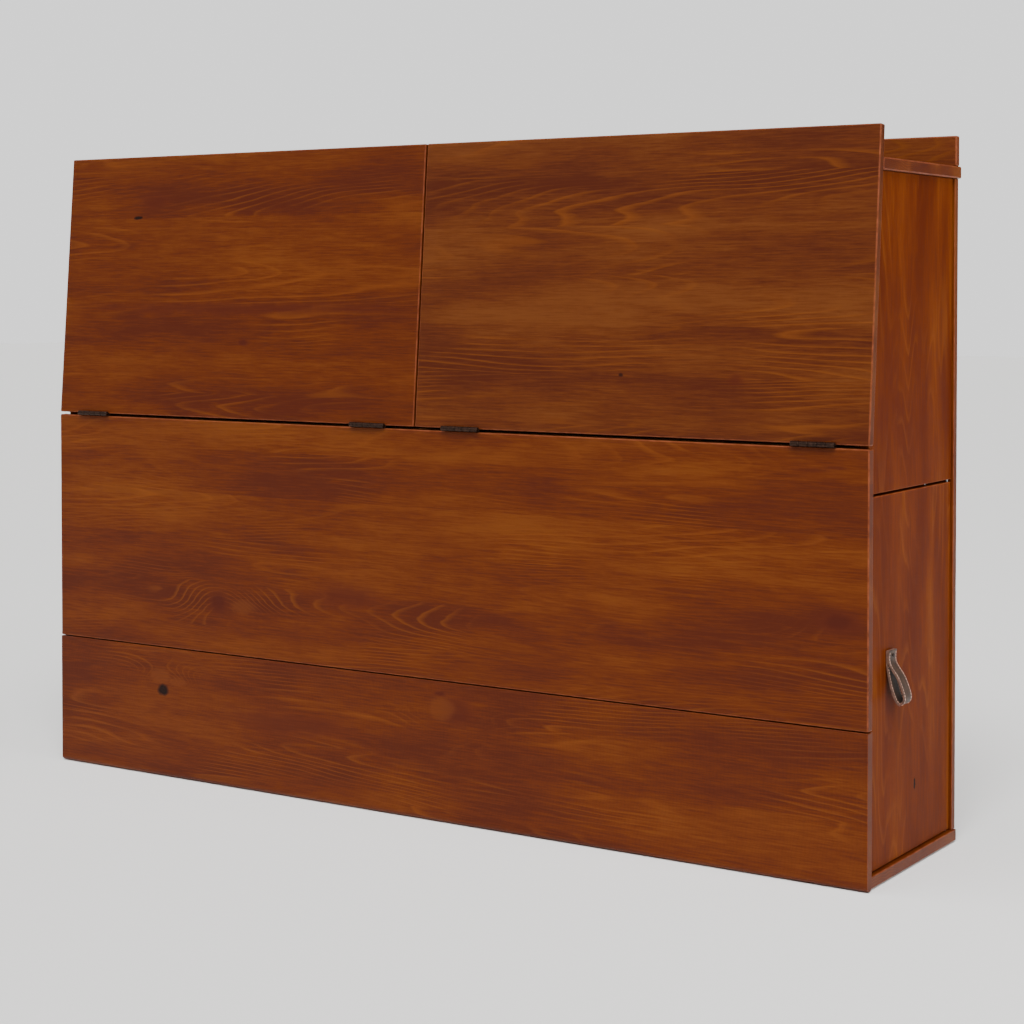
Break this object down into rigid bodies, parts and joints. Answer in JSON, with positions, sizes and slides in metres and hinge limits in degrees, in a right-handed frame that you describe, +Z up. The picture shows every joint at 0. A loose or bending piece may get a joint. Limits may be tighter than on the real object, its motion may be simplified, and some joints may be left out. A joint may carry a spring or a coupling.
{
  "type": "murphy wall bed",
  "caption": "Low wall bed that folds up on edge into a stained pine cabinet, with fold-down doors above, leather-strapped doors at the ends and a shelf tray on top.",
  "frame": {"origin": "on the floor under the middle of the closed cabinet's bounding box", "axes": "+Z up, +X along the bed to the right seen from the front, +Y back towards the wall; the bed folds down towards -Y"},
  "size_m": [2.0856, 0.4596, 1.405],
  "materials": {
    "pine_front": "stained pine, satin varnish, grain along the width",
    "pine_edge": "stained pine with end grain on its short ends",
    "pine_side": "stained pine, upright grain",
    "pine_inside": "stained pine, matt inside face",
    "frame_timber": "planed softwood, unvarnished",
    "slat_birch": "bent birch slat, clear lacquer",
    "ticking": "woven cotton mattress ticking",
    "webbing": "woven elastic webbing",
    "bronze": "dark oil-rubbed bronze",
    "zinc_steel": "zinc-plated steel",
    "black_tube": "black satin lacquer",
    "leather": "vegetable-tanned leather, dark brown face and pale cut edges",
    "felt": "pressed wool felt"
  },
  "bodies": {
    "root": {"base_board": "pine_edge", "floor_pad_front": "felt", "floor_pad_back": "felt", "front_post_left": "pine_inside", "front_post_right": "pine_inside", "side_panel_left": "pine_side", "side_panel_right": "pine_side", "mid_shelf": "pine_inside", "centre_divider": "pine_inside", "top_shelf": "pine_edge", "top_back_board": "pine_front", "back_stile_left": "pine_side", "back_stile_right": "pine_side", "back_panel_lower": "pine_inside", "back_panel_upper": "pine_inside", "wall_plate_left": "zinc_steel", "wall_plate_right": "zinc_steel", "pivot_tab_left": "zinc_steel", "pivot_tab_right": "zinc_steel", "damper_bracket_left": "zinc_steel", "damper_bracket_right": "zinc_steel", "hinge_fixed_left_outer": "bronze", "hinge_fixed_left_inner": "bronze", "hinge_fixed_right_inner": "bronze", "hinge_fixed_right_outer": "bronze"},
    "bed": {"front_board_middle": "pine_front", "front_board_bottom": "pine_front", "bed_rail_lower": "frame_timber", "bed_rail_upper": "frame_timber", "bed_end_rail_left": "frame_timber", "bed_end_rail_right": "frame_timber", "bed_slats": "slat_birch", "mattress": "ticking", "mattress_strap_left": "webbing", "mattress_strap_right": "webbing", "pivot_pin_left": "zinc_steel", "pivot_pin_right": "zinc_steel", "damper_stud_left": "zinc_steel", "damper_stud_right": "zinc_steel"},
    "door_left": {"upper_door_left": "pine_front", "hinge_moving_left_outer": "bronze", "hinge_moving_left_inner": "bronze"},
    "door_right": {"upper_door_right": "pine_front", "hinge_moving_right_outer": "bronze", "hinge_moving_right_inner": "bronze"},
    "flank_left": {"side_door_left": "pine_side", "side_door_pin_bottom_left": "zinc_steel", "side_door_pin_top_left": "zinc_steel", "strap_loop_left": "leather", "strap_screw_left": "bronze"},
    "cylinder_left": {"damper_cylinder_left": "black_tube"},
    "rod_left": {"damper_rod_left": "zinc_steel"},
    "flank_right": {"side_door_right": "pine_side", "side_door_pin_bottom_right": "zinc_steel", "side_door_pin_top_right": "zinc_steel", "strap_loop_right": "leather", "strap_screw_right": "bronze"},
    "cylinder_right": {"damper_cylinder_right": "black_tube"},
    "rod_right": {"damper_rod_right": "zinc_steel"}
  },
  "joints": [
    {"name": "bed_fold", "type": "hinge", "parent": "root", "child": "bed", "pos_m": [0, -0.20925, 0.011], "axis": [1, 0, 0], "range_deg": [0, 90]},
    {"name": "upper_door_fold_left", "type": "hinge", "parent": "root", "child": "door_left", "pos_m": [0, -0.22475, 0.8168], "axis": [-1, 0, 0], "range_deg": [-184, 0]},
    {"name": "upper_door_fold_right", "type": "hinge", "parent": "root", "child": "door_right", "pos_m": [0, -0.22475, 0.8168], "axis": [-1, 0, 0], "range_deg": [-184, 0]},
    {"name": "side_door_swing_left", "type": "hinge", "parent": "root", "child": "flank_left", "pos_m": [-0.999, 0.19575, 0.0285], "axis": [0, 0, -1], "range_deg": [0, 85]},
    {"name": "damper_swing_left", "type": "hinge", "parent": "root", "child": "cylinder_left", "pos_m": [-0.9575, 0.17675, 0.12], "axis": [1, 0, 0], "range_deg": [0, 1.97]},
    {"name": "damper_stroke_left", "type": "slide", "parent": "cylinder_left", "child": "rod_left", "axis": [0, -0.9906, -0.1371], "range_m": [0, 0.09572]},
    {"name": "side_door_swing_right", "type": "hinge", "parent": "root", "child": "flank_right", "pos_m": [0.999, 0.19575, 0.0285], "axis": [0, 0, 1], "range_deg": [0, 85]},
    {"name": "damper_swing_right", "type": "hinge", "parent": "root", "child": "cylinder_right", "pos_m": [0.9575, 0.17675, 0.12], "axis": [1, 0, 0], "range_deg": [0, 1.97]},
    {"name": "damper_stroke_right", "type": "slide", "parent": "cylinder_right", "child": "rod_right", "axis": [0, -0.9906, -0.1371], "range_m": [0, 0.09572]}
  ],
  "couplings": [
    {"joint": "damper_swing_left", "follows": "bed_fold", "ratio": 0.021274},
    {"joint": "damper_stroke_left", "follows": "bed_fold", "m_per_rad": 0.060621},
    {"joint": "damper_swing_right", "follows": "bed_fold", "ratio": 0.021274},
    {"joint": "damper_stroke_right", "follows": "bed_fold", "m_per_rad": 0.060621}
  ]
}
